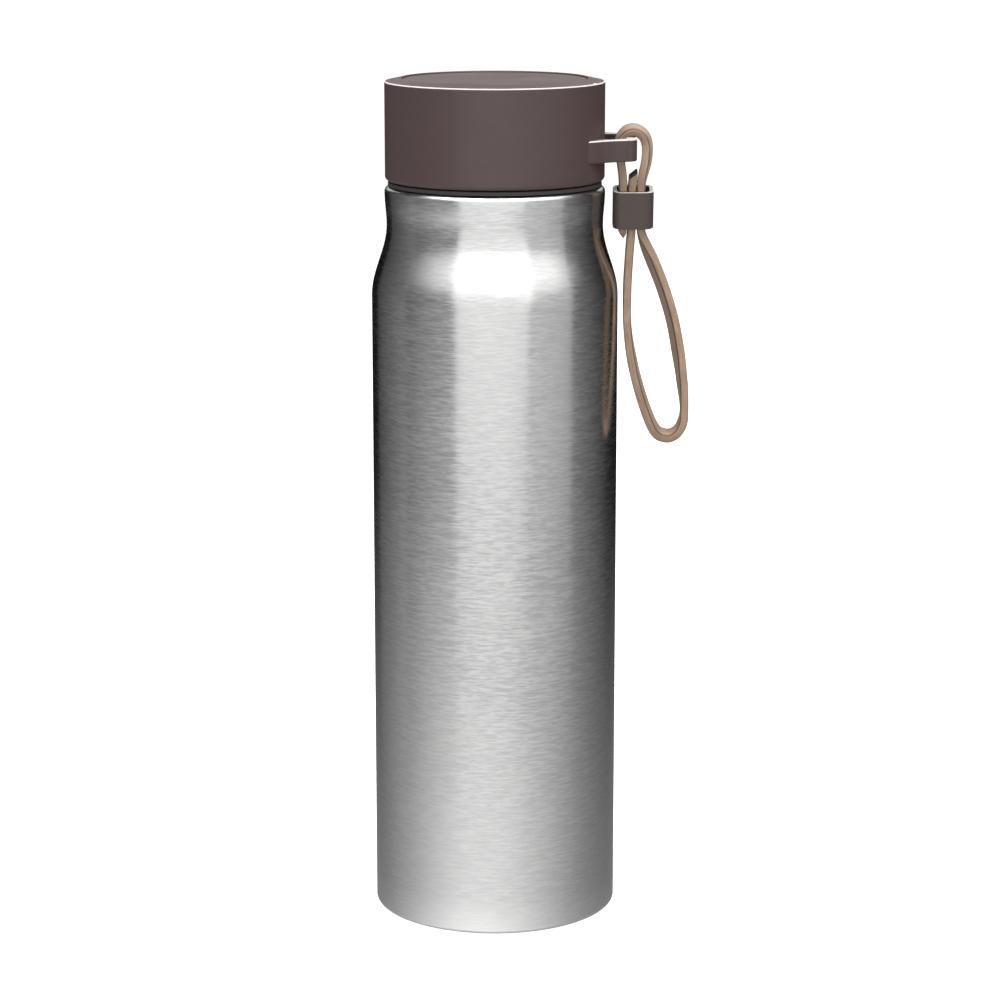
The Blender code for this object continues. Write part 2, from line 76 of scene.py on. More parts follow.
# Studio: radiance seen in reflections, (far side, camera's side), and the light for matt surfaces
ROOM_GLOW = (0.0, 0.34)
ROOM_RAMP = (0.15, 0.85)  # where it rises, from 0 at the far side to 1 at the camera's side
CEILING_GLOW = 0.85  # added above the camera's side
CEILING_RAMP = (0.40, 0.72)
CEILING_EDGE = (sin(radians(14)), sin(radians(20)))  # directions between which it begins
TABLE_GLOW = (0.42, 1.84)
TABLE_FALLOFF = 2.4
TABLE_SIDE = radians(-15)  # azimuth of the table's brightest side, 0 being the camera's
TABLE_EDGE = (sin(radians(-24)), sin(radians(-12)))  # directions between which the table ends
DIFFUSE_FILL = (0.16, 0.16, 0.165)
LIGHT_TARGET = Vector((0, 0, 0.12))  # every card of light faces this point
FLOOR_SIZE = 6.0

# Outer shell, base cover and neck ring
SHELL_LOW, SHELL_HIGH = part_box("outer_shell")
BODY_RADIUS = SHELL_HIGH.x
SHELL_FOOT = SHELL_LOW.z
NECK_TOP = SHELL_HIGH.z
WAIST_RADIUS = 29.1 * MM
RIM_RADIUS = 29.6 * MM
SHOULDER_BOTTOM = 170.8 * MM
WAIST_HEIGHT = 190.0 * MM
RIM_BOTTOM = 198.7 * MM
RIM_TOP = 200.2 * MM
RIM_CORNER = 1.3 * MM
SHELL_WALL = 0.7 * MM
FOOT_CORNER = 1.2 * MM
FOOT_LIP_RADIUS = 30.6 * MM
NECK_RADIUS = 24.5 * MM
NECK_FILLET = 0.9 * MM
COVER_CORNER = 0.35 * MM
COVER_RECESS = 0.25 * MM  # how deep the cover's middle lies inside its rim
COVER_RIM_END = 0.82  # where the rim ends, as a part of the cover's radius
COVER_FLOOR_START = 0.80
NECK_RING_INNER = 25.6 * MM
NECK_RING_CORNER = 0.3 * MM

# Inner flask and mouth seal
MOUTH_LIP_RADIUS = 24.4 * MM
MOUTH_NECK_RADIUS = 22.9 * MM
MOUTH_LIP_BOTTOM = NECK_TOP + 0.3 * MM
MOUTH_LIP_FILLET = 0.6 * MM
SEAL_INNER = 21.7 * MM
SEAL_CORNER = 0.45 * MM
FLASK_RADIUS = 30.6 * MM
FLASK_BOTTOM = 9.0 * MM
FLASK_CORNER = 5.0 * MM
FLASK_SHOULDER = 166.0 * MM
FLASK_NECK_BOTTOM = 197.0 * MM

# Thread: two starts, right-handed
THREAD_LEAD = 8.0 * MM
THREAD_STARTS = 2
THREAD_TURN = 0.7
THREAD_START = 205.0 * MM
MALE_CREST = 25.6 * MM
FEMALE_CREST = 24.85 * MM
THREAD_ROOT_WIDTH = 1.6 * MM
THREAD_SHOULDER_WIDTH = 0.92 * MM
THREAD_CREST_WIDTH = 0.56 * MM
THREAD_ROUNDING = 0.18  # part of a ridge's height between its shoulder and its crest
THREAD_SINK = 0.2 * MM
THREAD_FADE = 0.08  # part of a ridge's length over which it rises and falls

# Cap, its top disc and its liner
CAP_LOW, CAP_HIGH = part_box("cap_shell")
CAP_RADIUS = -CAP_LOW.x
CAP_BOTTOM = CAP_LOW.z
CAP_TOP = CAP_HIGH.z
CAP_INNER_RADIUS = 27.45 * MM
CAP_ROOF = 225.4 * MM
CAP_EDGE_HEIGHT = 228.15 * MM  # the roof slopes down to this at its outer edge
CAP_EDGE_CORNER = 0.4 * MM
CAP_BOTTOM_CORNER = 1.2 * MM
DISC_LOW, DISC_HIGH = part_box("cap_top_disc")
DISC_RADIUS = DISC_HIGH.x
DISC_GAP = 0.3 * MM
DISC_EDGE = 0.3 * MM
RECESS_LIP = 0.3 * MM
LINER_LOW, LINER_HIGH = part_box("cap_liner")
LINER_RADIUS = LINER_HIGH.x
LINER_BORE = 25.95 * MM
LINER_DECK = 218.0 * MM
LINER_DECK_THICKNESS = 1.2 * MM
PLUG_RADIUS = 21.4 * MM
PLUG_BOTTOM = 207.0 * MM
PLUG_WALL = 1.2 * MM
PLUG_CORNER = 1.0 * MM

# Lug and strap bar
LUG_BOTTOM = 207.4 * MM
LUG_TOP = 213.4 * MM
LUG_EDGE = 0.45 * MM
LUG_ROOT_RADIUS = 28.4 * MM
LUG_ROOT_ANGLE = 39.0  # degrees: where each arm's outer side leaves the cap
LUG_ARM_ANGLE = 20.0  # degrees: where its inner side does
LUG_FLANK = (  # points of each arm's outer side, (x, y)
    (25.9 * MM, 15.3 * MM),
    (28.6 * MM, 13.0 * MM),
    (31.5 * MM, 11.2 * MM),
    (34.6 * MM, 10.0 * MM),
)
LUG_REACH = CAP_HIGH.x
LUG_INNER_REACH = 34.9 * MM
LUG_CORNER = 3.1 * MM
LUG_HALF_WIDTH = 9.6 * MM
LUG_OPENING = ((LUG_INNER_REACH, 6.8 * MM), (29.3 * MM, 9.1 * MM))  # its inner side
BAR_X = 36.4 * MM
BAR_Z = 211.2 * MM
BAR_RADIUS = 1.4 * MM
BAR_HALF_LENGTH = 4.2 * MM
BAR_SEGMENTS = 48
BAR_GAP_EDGE = 0.05 * MM
OVERCUT = 1.0 * MM  # how far a cutter or a bar reaches past what it meets

# Strap and keeper
STRAP_THICKNESS = 2.2 * MM
STRAP_WIDTH = 5.0 * MM
STRAP_EDGE = 0.5 * MM
STRAP_SAMPLES = 520
STRAP_TIP_SLANT = 0.85  # rise of the cut across the strap's thickness
STRAP_TAIL_SLANT = 0.6
STRAP_TAIL_ROUNDING = 1.6 * MM
STRAP_TAIL_SIZE = 0.6  # the rounded end's own size, as a part of the strap's section
STRAP_SLANT_REACH = 2.2 * MM  # how far from its end the strap's sections start to slant
KEEPER_CENTRE = Vector((37.10, -0.25, 194.4)) * MM
KEEPER_WIDTH = 10.9 * MM
KEEPER_DEPTH = 7.8 * MM
KEEPER_HEIGHT = 10.3 * MM
KEEPER_WALL = 1.12 * MM
KEEPER_CORNER = 2.2 * MM
KEEPER_EDGE = 0.22 * MM
KEEPER_TILT = radians(10)  # its top leans to -Y

# The strap's centre line in millimetres, as in the CAD part: from its lower end through the
# keeper, over the bar, down through the keeper, round the wrist loop and back into the keeper.
STRAP_ROUTE = (
    (34.10, 1.05, 186.8),
    (34.28, 0.75, 188.6),
    (34.35, -0.20, 194.0),
    (34.35, -1.20, 199.7),
    (34.15, -1.70, 203.2),
    (33.65, -1.30, 207.0),
    (33.35, -0.40, 210.6),
    (33.95, 0.00, 213.1),
    (35.70, 0.00, 214.8),
    (37.90, 0.00, 214.9),
    (39.90, 0.00, 213.5),
    (40.80, -0.10, 210.8),
    (40.60, -0.90, 207.0),
    (39.70, -1.65, 203.2),
    (39.25, -1.20, 199.7),
    (39.25, -0.20, 194.0),
    (39.30, 0.75, 188.6),
    (40.45, 1.40, 184.6),
    (42.70, 1.80, 179.3),
    (45.60, 2.00, 171.9),
    (48.10, 2.00, 163.7),
    (49.70, 1.90, 155.5),
    (50.90, 1.60, 147.2),
    (51.60, 1.20, 139.2),
    (50.95, 0.90, 134.9),
    (49.10, 0.60, 132.5),
    (46.40, 0.30, 131.9),
    (43.40, -0.20, 133.9),
    (40.20, -0.50, 141.7),
    (37.40, -0.60, 152.0),
    (35.90, -0.40, 162.0),
    (35.75, 0.10, 172.0),
    (36.20, 0.60, 181.0),
    (36.75, 0.75, 188.6),
    (36.80, -0.20, 194.0),
    (36.80, -1.20, 199.7),
    (36.95, -1.75, 202.0),
    (37.00, -2.05, 203.5),
)
# How far the strap is turned about its own line: a point of its route, counted from 0, and degrees.
STRAP_TWIST = (
    (0, 0),
    (5, 0),
    (8, 16),
    (12, 14),
    (15, 0),
    (16, 0),
    (18, -22),
    (21, -20),
    (22, -12),
    (23, 0),
    (24, -6),
    (26, -18),
    (28, -12),
    (29, -10),
    (30, -3),
    (31, 0),
    (38, 0),
)


# ---- mesh helpers ---------------------------------------------------------------------------


def add_object(name, mesh, look):
    obj = bpy.data.objects.new(name, mesh)
    bpy.context.scene.collection.objects.link(obj)
    if look:
        mesh.materials.append(look)
    return obj


def finished_mesh(name, solid):
    """The bmesh as a mesh, its faces pointing out, smooth but for its crisp edges."""
    bmesh.ops.remove_doubles(solid, verts=solid.verts, dist=WELD)
    bmesh.ops.recalc_face_normals(solid, faces=solid.faces)
    mesh = bpy.data.meshes.new(name)
    solid.to_mesh(mesh)
    solid.free()
    mesh.shade_smooth()
    mesh.set_sharp_from_angle(angle=SHARP)
    return mesh


def arc(centre_r, centre_z, radius, start, end, steps=8):
    """Points (r, z) of an arc, its angles in degrees counted from +r towards +z."""
    angles = [radians(start + (end - start) * i / steps) for i in range(steps + 1)]
    return [(centre_r + radius * cos(a), centre_z + radius * sin(a)) for a in angles]


def ease(start, end, steps=24):
    """Points (r, z) between two points, leaving and arriving along the axis."""
    points = []
    for i in range(steps + 1):
        along = i / steps
        blend = (1 - cos(pi * along)) / 2
        points.append((start[0] + (end[0] - start[0]) * blend, start[1] + (end[1] - start[1]) * along))
    return points


def straight(start, end, steps):
    """Points between two points, without the first."""
    return [
        tuple(a + (b - a) * i / steps for a, b in zip(start, end))
        for i in range(1, steps + 1)
    ]


def walled(profile, wall):
    """A closed profile: the line itself and, back again, the line moved inwards by the wall."""
    inner = []
    last = len(profile) - 1
    for i, (r, z) in enumerate(profile):
        before = profile[max(i - 1, 0)]
        after = profile[min(i + 1, last)]
        along = Vector((after[0] - before[0], after[1] - before[1])).normalized()
        inner.append((max(r + along.y * wall, 0), z - along.x * wall))
    return profile + inner[::-1]


def revolve(profile, closed=True, segments=SEGMENTS):
    """A profile (r, z) turned round Z. Points on the axis become one point."""
    solid = bmesh.new()
    rings = []
    for r, z in profile:
        if r < WELD:
            rings.append([solid.verts.new((0, 0, z))] * segments)
            continue
        angles = [tau * i / segments for i in range(segments)]
        rings.append([solid.verts.new((r * cos(a), r * sin(a), z)) for a in angles])
    pairs = list(zip(rings, rings[1:]))
    if closed:
        pairs.append((rings[-1], rings[0]))
    for upper, lower in pairs:
        for i in range(segments):
            corners = [upper[i - 1], upper[i], lower[i], lower[i - 1]]
            corners = list(dict.fromkeys(corners))
            if len(corners) > 2:
                solid.faces.new(corners)
    return solid


def turned(name, profile, look, closed=True):
    return add_object(name, finished_mesh(name, revolve(profile, closed)), look)


def smoothstep(value):
    value = min(max(value, 0), 1)
    return value * value * (3 - 2 * value)


def thread_ridge(name, wall_radius, crest_radius, height, start_angle):
    """One helical ridge that fades in and out of its wall at both ends."""
    outward = 1 if crest_radius > wall_radius else -1
    root_radius = wall_radius - outward * THREAD_SINK
    steps = round(SEGMENTS * THREAD_TURN)
    solid = bmesh.new()
    rings = []
    for i in range(steps + 1):
        part = i / steps
        angle = start_angle + tau * THREAD_TURN * part
        z = height + THREAD_LEAD * THREAD_TURN * part
        grown = smoothstep(min(part, 1 - part) / THREAD_FADE)
        crest = wall_radius - outward * THREAD_SINK / 2
        crest += (crest_radius - crest) * grown
        shoulder = crest - (crest - root_radius) * THREAD_ROUNDING
        section = (
            (root_radius, -THREAD_ROOT_WIDTH / 2),
            (shoulder, -THREAD_SHOULDER_WIDTH / 2),
            (crest, -THREAD_CREST_WIDTH / 2),
            (crest, THREAD_CREST_WIDTH / 2),
            (shoulder, THREAD_SHOULDER_WIDTH / 2),
            (root_radius, THREAD_ROOT_WIDTH / 2),
        )
        rings.append([solid.verts.new((r * cos(angle), r * sin(angle), z + dz)) for r, dz in section])
    for ring, following in zip(rings, rings[1:]):
        for i in range(len(ring)):
            solid.faces.new((ring[i - 1], ring[i], following[i], following[i - 1]))
    solid.faces.new(rings[0])
    solid.faces.new(rings[-1])
    return add_object(name, finished_mesh(name, solid), None)


def outline_solid(name, outlines, thickness, edge, look=None):
    """A plate from closed outlines of (x, y), its edges rounded. A second outline is a hole."""
    curve = bpy.data.curves.new(name, "CURVE")
    curve.dimensions = "2D"
    curve.fill_mode = "BOTH"
    curve.extrude = thickness / 2 - edge
    curve.bevel_depth = edge
    curve.bevel_resolution = 4
    curve.offset = -edge
    for outline in outlines:
        spline = curve.splines.new("POLY")
        spline.points.add(len(outline) - 1)
        spline.use_cyclic_u = True
        for point, (x, y) in zip(spline.points, outline):
            point.co = (x, y, 0, 1)
    drawn = bpy.data.objects.new(name, curve)
    bpy.context.scene.collection.objects.link(drawn)
    graph = bpy.context.evaluated_depsgraph_get()
    solid = bmesh.new()
    solid.from_mesh(bpy.data.meshes.new_from_object(drawn.evaluated_get(graph)))
    bmesh.ops.remove_doubles(solid, verts=solid.verts, dist=CURVE_WELD)
    bpy.data.objects.remove(drawn, do_unlink=True)
    return add_object(name, finished_mesh(name, solid), look)


def slice_mesh(mesh, places):
    """Adds edges where planes cross the mesh, each given as an axis and a position on it."""
    solid = bmesh.new()
    solid.from_mesh(mesh)
    for axis, position in places:
        normal = Vector((axis == 0, axis == 1, axis == 2))
        geometry = [*solid.verts, *solid.edges, *solid.faces]
        bmesh.ops.bisect_plane(solid, geom=geometry, dist=WELD, plane_co=normal * position, plane_no=normal)
    solid.to_mesh(mesh)
    solid.free()
    mesh.shade_smooth()
    mesh.set_sharp_from_angle(angle=SHARP)


def combine(obj, other, operation):
    """Joins or cuts obj with other, which is used up."""
    step = obj.modifiers.new(operation, "BOOLEAN")
    step.operation = operation
    step.object = other
    step.solver = "EXACT"
    graph = bpy.context.evaluated_depsgraph_get()
    mesh = bpy.data.meshes.new_from_object(obj.evaluated_get(graph))
    obj.modifiers.remove(step)
    obj.data = mesh
    mesh.shade_smooth()
    mesh.set_sharp_from_angle(angle=SHARP)
    bpy.data.objects.remove(other, do_unlink=True)


def join(obj, other):
    """Puts other, which is rooted in obj's wall, into obj's mesh."""
    solid = bmesh.new()
    solid.from_mesh(obj.data)
    solid.from_mesh(other.data)
    solid.to_mesh(obj.data)
    solid.free()
    obj.data.set_sharp_from_angle(angle=SHARP)
    bpy.data.objects.remove(other, do_unlink=True)


def smooth_line(route, steps):
    """Points of a Catmull-Rom curve through the route's points."""
    points = [Vector(p) for p in route]
    points = [2 * points[0] - points[1], *points, 2 * points[-1] - points[-2]]
    dense = []
    for a, b, c, d in zip(points, points[1:], points[2:], points[3:]):
        for i in range(steps):
            t = i / steps
            curved = (2 * a - 5 * b + 4 * c - d) * t**2 + (3 * b - a - 3 * c + d) * t**3
            dense.append(0.5 * (2 * b + (c - a) * t + curved))
    dense.append(points[-2])
    return dense


def even_samples(values, reach, samples):
    """Values read at even distances along a line whose distances so far are in reach."""
    even = []
    at = 0
    for i in range(samples):
        wanted = reach[-1] * i / (samples - 1)
        while at < len(reach) - 2 and reach[at + 1] < wanted:
            at += 1
        part = (wanted - reach[at]) / (reach[at + 1] - reach[at])
        even.append(values[at] + (values[at + 1] - values[at]) * part)
    return even


def rounded_rectangle(width, depth, radius, steps=8):
    """Corners (x, y) of a rectangle about the origin, each corner an arc."""
    points = []
    for quarter, (side_x, side_y) in enumerate(((1, 1), (-1, 1), (-1, -1), (1, -1))):
        centre_x = side_x * (width / 2 - radius)
        centre_y = side_y * (depth / 2 - radius)
        points += arc(centre_x, centre_y, radius, 90 * quarter, 90 * (quarter + 1), steps)
    return points


# ---- material helpers -----------------------------------------------------------------------


def new_look(name):
    look = bpy.data.materials.new(name)
    look.use_nodes = True
    return look, look.node_tree, look.node_tree.nodes["Principled BSDF"]


def node(tree, kind, inputs=None, **settings):
    """Adds a node. An input is a socket to link from, or a plain value."""
    made = tree.nodes.new(kind)
    for key, value in settings.items():
        setattr(made, key, value)
    for key, value in (inputs or {}).items():
        if isinstance(value, bpy.types.NodeSocket):
            tree.links.new(value, made.inputs[key])
        else:
            made.inputs[key].default_value = value
    return made


def place(tree, scale=(1, 1, 1)):
    """The piece's own coordinates in metres, stretched by a scale."""
    own = node(tree, "ShaderNodeTexCoord").outputs["Object"]
    return node(tree, "ShaderNodeMapping", {"Vector": own, "Scale": scale}).outputs["Vector"]


def noise(tree, vector, scale, detail=3, roughness=0.55):
    inputs = {"Vector": vector, "Scale": scale, "Detail": detail, "Roughness": roughness}
    return node(tree, "ShaderNodeTexNoise", inputs).outputs["Fac"]


def spread(tree, value, low, high, start=0.3, end=0.7):
    """Maps start..end of a value to low..high."""
    inputs = {"Value": value, "From Min": start, "From Max": end, "To Min": low, "To Max": high}
    return node(tree, "ShaderNodeMapRange", inputs, clamp=True).outputs["Result"]


def colour_mix(tree, factor, first, second, blend="MIX"):
    made = node(tree, "ShaderNodeMix", data_type="RGBA", blend_type=blend)
    for socket, value in ((made.inputs[0], factor), (made.inputs[6], first), (made.inputs[7], second)):
        if isinstance(value, bpy.types.NodeSocket):
            tree.links.new(value, socket)
        else:
            socket.default_value = value if isinstance(value, (int, float)) else (*value, 1)
    return made.outputs[2]


def combine_values(tree, operation, first, second):
    made = node(tree, "ShaderNodeMath", operation=operation)
    for socket, value in zip(made.inputs, (first, second)):
        if isinstance(value, bpy.types.NodeSocket):
            tree.links.new(value, socket)
        else:
            socket.default_value = value
    return made.outputs[0]


def bump(tree, height, distance, strength=1.0, under=None):
    inputs = {"Height": height, "Distance": distance, "Strength": strength}
    if under:
        inputs["Normal"] = under
    return node(tree, "ShaderNodeBump", inputs).outputs["Normal"]


def painted_edge_highlight(tree):
    """0 on flat stretches, 1 on outer edges that face up: a painted highlight where the overhead light would
    catch them.
    """
    geometry = node(tree, "ShaderNodeNewGeometry").outputs
    edges = spread(tree, geometry["Pointiness"], 0.0, 1.0, 0.510, 0.521)
    facing = node(tree, "ShaderNodeSeparateXYZ", {"Vector": geometry["Normal"]}).outputs["Z"]
    return combine_values(tree, "MULTIPLY", edges, spread(tree, facing, 0.0, 1.0, 0.1, 0.5))


def set_look(tree, shader, **sockets):
    for key, value in sockets.items():
        socket = shader.inputs[key.replace("_", " ").title().replace("Ior", "IOR")]
        if isinstance(value, bpy.types.NodeSocket):
            tree.links.new(value, socket)
        else:
            socket.default_value = (*value, 1) if isinstance(value, tuple) and len(value) == 3 else value


# ---- materials ------------------------------------------------------------------------------


def turned_steel_look(name, tint, roughness, grain):
    """Steel brushed round its axis: short fine streaks, and highlights drawn out along the axis."""
    look, tree, shader = new_look(name)
    fine = noise(tree, place(tree, (430, 430, 4200)), 1.0, 2, 0.5)
    wisps = noise(tree, place(tree, (180, 180, 1600)), 1.0, 2, 0.5)
    cloud = noise(tree, place(tree), 38, 3, 0.5)
    streaks = combine_values(tree, "ADD", fine, wisps)
    dark = tuple(channel * (1 - grain) for channel in tint)
    light = tuple(min(channel * (1 + grain), 1) for channel in tint)
    brushed = colour_mix(tree, spread(tree, streaks, 0, 1, 0.8, 1.2), dark, light)
    mottled_and_highlit = colour_mix(tree, spread(tree, cloud, 0, 0.10), brushed, (0.42, 0.42, 0.41))
    # painted highlight: up-facing edges mixed towards near-white; the darker cloud above is random tone
    edge_highlight = combine_values(tree, "MULTIPLY", painted_edge_highlight(tree), 0.5)
    mottled_and_highlit = colour_mix(tree, edge_highlight, mottled_and_highlit, (0.85, 0.84, 0.82))
    rough = spread(tree, streaks, roughness - 0.04, roughness + 0.04, 0.8, 1.2)
    rough = combine_values(tree, "ADD", rough, spread(tree, cloud, -0.02, 0.03))
    around = node(tree, "ShaderNodeTangent", direction_type="RADIAL", axis="Z").outputs["Tangent"]
    set_look(
        tree,
        shader,
        base_color=mottled_and_highlit,
        metallic=1.0,
        roughness=rough,
        anisotropic=0.5,
        anisotropic_rotation=0.25,
        tangent=around,
        normal=bump(tree, streaks, STREAK_DEPTH),
    )
    return look


def moulded_look(name, tint, roughness):
    """Matt moulded plastic: fine eroded grain, faint cloudiness, and a painted highlight along the upper
    outer edges.
    """
    look, tree, shader = new_look(name)
    grain = noise(tree, place(tree), 5200, 2, 0.6)
    drag = noise(tree, place(tree, (110, 110, 2200)), 1.0, 2, 0.5)
    cloud = noise(tree, place(tree), 60, 3, 0.5)
    dark = tuple(channel * (1 - PLASTIC_SPECKLE) for channel in tint)
    light = tuple(channel * (1 + PLASTIC_SPECKLE) for channel in tint)
    base = colour_mix(tree, spread(tree, grain, 0, 1), dark, light)
    base = colour_mix(tree, spread(tree, drag, 0, 0.4), base, light)
    base = colour_mix(tree, spread(tree, cloud, 0, 0.25), base, dark)
    from_axis = node(tree, "ShaderNodeVectorMath", {0: place(tree, (1, 1, 0))}, operation="LENGTH")
    reached = (HIGHLIGHT_RADIUS, HIGHLIGHT_RADIUS + HIGHLIGHT_FADE)
    highlight_zone = spread(tree, from_axis.outputs["Value"], 0.0, 1.0, *reached)
    # painted highlight: the up-facing outer edges are mixed towards near-white and made a little glossier
    edges = combine_values(tree, "MULTIPLY", painted_edge_highlight(tree), highlight_zone)
    base = colour_mix(tree, edges, base, PLASTIC_EDGE_HIGHLIGHT)
    rough = spread(tree, cloud, roughness - 0.04, roughness + 0.05)
    rough = combine_values(tree, "SUBTRACT", rough, combine_values(tree, "MULTIPLY", edges, 0.08))
    surface = bump(tree, grain, 0.012 * MM)
    surface = bump(tree, drag, 0.006 * MM, under=surface)
    set_look(tree, shader, base_color=base, roughness=rough, normal=surface, specular_ior_level=0.5)
    return look


def leather_look():
    """Tan strap leather: fibres along the strap, pores, and darker burnished edges."""
    look, tree, shader = new_look("strap_leather")
    route = node(tree, "ShaderNodeAttribute", attribute_name="strap_place").outputs["Vector"]
    drawn_out = node(tree, "ShaderNodeMapping", {"Vector": route, "Scale": (220, 3200, 3200)})
    fibres = noise(tree, drawn_out.outputs["Vector"], 1.0, 3, 0.6)
    pores = node(tree, "ShaderNodeTexVoronoi", {"Vector": route, "Scale": 2600}).outputs["Distance"]
    cloud = noise(tree, route, 120, 3, 0.55)
    base = colour_mix(tree, spread(tree, fibres, 0, 1), (0.31, 0.20, 0.13), (0.60, 0.43, 0.305))
    base = colour_mix(tree, spread(tree, cloud, 0, 0.35), base, (0.30, 0.185, 0.115))
    base = colour_mix(tree, spread(tree, pores, 0.25, 0, 0.0, 0.35), base, (0.22, 0.135, 0.085))
    outwards = node(tree, "ShaderNodeSeparateXYZ", {"Vector": route}).outputs
    across = combine_values(tree, "ABSOLUTE", outwards["Y"], 0.0)
    through = combine_values(tree, "ABSOLUTE", outwards["Z"], 0.0)
    near_side = spread(tree, across, 0.0, 0.9, STRAP_WIDTH * 0.28, STRAP_WIDTH * 0.42)
    near_corner = spread(tree, through, 0.0, 1.0, STRAP_THICKNESS * 0.37, STRAP_THICKNESS * 0.46)
    burnished = combine_values(tree, "MULTIPLY", near_side, near_corner)
    base = colour_mix(tree, burnished, base, (0.05, 0.03, 0.02))
    rough = spread(tree, fibres, 0.38, 0.54)
    surface = bump(tree, fibres, 0.06 * MM)
    surface = bump(tree, pores, 0.02 * MM, under=surface)
    set_look(
        tree,
        shader,
        base_color=base,
        roughness=rough,
        normal=surface,
        sheen_weight=0.3,
        sheen_roughness=0.45,
        sheen_tint=(0.9, 0.78, 0.66),
    )
    return look


def cut_leather_look():
    """The strap's cut ends, dark and fibrous."""
    look, tree, shader = new_look("strap_cut_edge")
    fibres = noise(tree, place(tree), 4200, 3, 0.7)
    base = colour_mix(tree, spread(tree, fibres, 0, 1), (0.012, 0.009, 0.007), (0.05, 0.035, 0.025))
    set_look(tree, shader, base_color=base, roughness=spread(tree, fibres, 0.6, 0.85))
    tree.links.new(bump(tree, fibres, 0.05 * MM), shader.inputs["Normal"])
    return look


def rubber_look(name, tint):
    look, tree, shader = new_look(name)
    grain = noise(tree, place(tree), 3800, 3, 0.6)
    cloud = noise(tree, place(tree), 90, 2, 0.5)
    light = tuple(channel * 1.6 for channel in tint)
    base = colour_mix(tree, spread(tree, grain, 0, 1), tint, light)
    base = colour_mix(tree, spread(tree, cloud, 0, 0.3), base, light)
    set_look(tree, shader, base_color=base, roughness=spread(tree, grain, 0.6, 0.78))
    tree.links.new(bump(tree, grain, 0.02 * MM), shader.inputs["Normal"])
    return look


def foam_look():
    """Pale cellular foam, seen only when the cap is opened up."""
    look, tree, shader = new_look("insulation_foam")
    cells = node(tree, "ShaderNodeTexVoronoi", {"Vector": place(tree), "Scale": 1400}).outputs["Distance"]
    base = colour_mix(tree, spread(tree, cells, 0, 1, 0.1, 0.7), (0.82, 0.79, 0.68), (0.60, 0.56, 0.45))
    set_look(tree, shader, base_color=base, roughness=spread(tree, cells, 0.8, 0.95))
    tree.links.new(bump(tree, cells, 0.1 * MM), shader.inputs["Normal"])
    return look


def glass_bead_look():
    look, tree, shader = new_look("seal_glass")
    cloud = noise(tree, place(tree), 900, 3, 0.6)
    base = colour_mix(tree, spread(tree, cloud, 0, 1), (0.24, 0.29, 0.25), (0.36, 0.40, 0.35))
    set_look(tree, shader, base_color=base, roughness=spread(tree, cloud, 0.15, 0.35))
    tree.links.new(bump(tree, cloud, 0.03 * MM), shader.inputs["Normal"])
    return look


def getter_look():
    look, tree, shader = new_look("getter_metal")
    grain = noise(tree, place(tree), 3000, 4, 0.7)
    base = colour_mix(tree, spread(tree, grain, 0, 1), (0.18, 0.17, 0.16), (0.34, 0.33, 0.31))
    set_look(tree, shader, base_color=base, metallic=0.7, roughness=spread(tree, grain, 0.5, 0.75))
    tree.links.new(bump(tree, grain, 0.05 * MM), shader.inputs["Normal"])
    return look


def floor_look():
    """Pale seamless paper, lit so evenly that it stays near white."""
    look, tree, shader = new_look("pale_floor")
    mottle = noise(tree, place(tree), 30, 3, 0.5)
    base = colour_mix(tree, spread(tree, mottle, 0, 1), (0.80, 0.80, 0.80), (0.82, 0.82, 0.82))
    set_look(tree, shader, base_color=base, roughness=0.9)
    set_look(tree, shader, emission_color=(1.0, 1.0, 1.0), emission_strength=0.86)
    return look


# ---- camera, light and stage ----------------------------------------------------------------


def make_camera():
    data = bpy.data.cameras.new("camera")
    data.lens = CAMERA_LENS
    data.sensor_width = 36.0
    data.clip_start = 0.01
    camera = bpy.data.objects.new("camera", data)
    bpy.context.scene.collection.objects.link(camera)
    camera.location = CAMERA_PLACE
    camera.rotation_euler = (pi / 2 - CAMERA_PITCH, 0, 0)
    bpy.context.scene.camera = camera


def softbox(name, azimuth, elevation, distance, width, height, brightness):
    """A card of light that faces the bottle. Azimuth 0 is the camera's side, +90 is +X."""
    data = bpy.data.lights.new(name, "AREA")
    data.shape = "RECTANGLE"
    data.size = width
    data.size_y = height
    data.energy = brightness * pi * width * height
    light = bpy.data.objects.new(name, data)
    bpy.context.scene.collection.objects.link(light)
    around = radians(azimuth)
    up = radians(elevation)
    outward = Vector((sin(around) * cos(up), -cos(around) * cos(up), sin(up)))
    light.location = LIGHT_TARGET + outward * distance
    light.rotation_euler = outward.to_track_quat("Z", "Y").to_euler()


